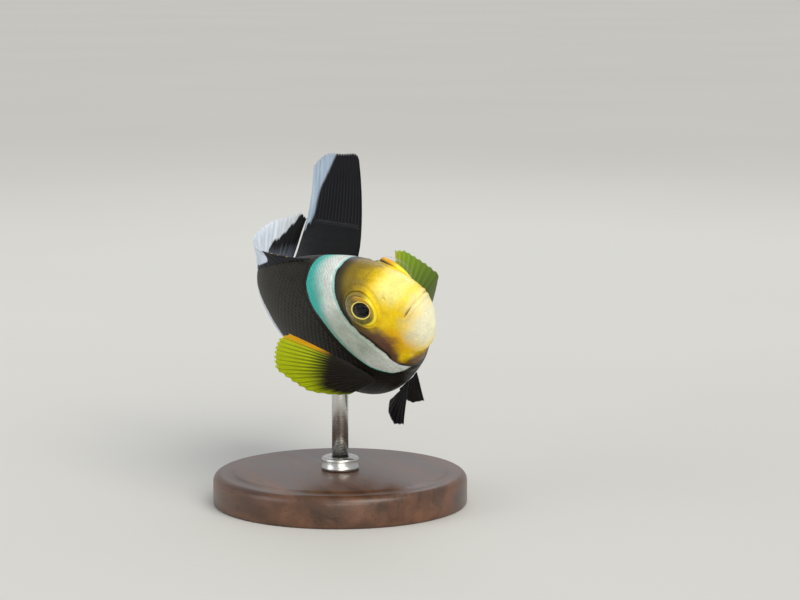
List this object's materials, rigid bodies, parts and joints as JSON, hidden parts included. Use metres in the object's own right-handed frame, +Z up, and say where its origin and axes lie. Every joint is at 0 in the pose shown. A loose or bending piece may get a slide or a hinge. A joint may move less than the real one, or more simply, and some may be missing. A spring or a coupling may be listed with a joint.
{
  "type": "saddleback clownfish on a display stand",
  "caption": "Life-size still model of a saddleback clownfish, swimming with its tail bent to its left, banked and nose up on a small turned base with one rod.",
  "frame": {"origin": "centre of the base's underside, on the surface that the stand rests on", "axes": "+Z up; the fish's snout points to -Y, pitched up and banked with its right side (-X) low; the tail bends to +X"},
  "size_m": [0.0478, 0.0793, 0.0594],
  "materials": {
    "face_skin": "moist yellow skin with tiny scales, olive towards the nape",
    "chin_skin": "moist cream skin",
    "bar_skin": "white scaled skin with a turquoise rear edge",
    "body_skin": "black-brown scaled skin with a white saddle bar",
    "dark_fin": "black rayed membrane with white margins",
    "pectoral_fin": "yellow-green rayed membrane",
    "eye": "clear cornea over a dark pupil and a mottled olive-gold iris",
    "walnut": "satin turned walnut",
    "steel": "brushed"
  },
  "bodies": {
    "root": {"head": "face_skin", "lower_jaw": "chin_skin", "gill_cover_left": "bar_skin", "gill_cover_right": "bar_skin", "eye_left": "eye", "eye_right": "eye", "trunk": "body_skin", "tail_stem": "body_skin", "dorsal_fin_spiny": "dark_fin", "dorsal_fin_soft": "dark_fin", "anal_fin": "dark_fin", "tail_fin": "dark_fin", "pelvic_fin_left": "dark_fin", "pelvic_fin_right": "dark_fin", "pectoral_fin_left": "pectoral_fin", "pectoral_fin_right": "pectoral_fin", "stand_base": "walnut", "stand_ferrule": "steel", "stand_rod": "steel"}
  },
  "joints": []
}
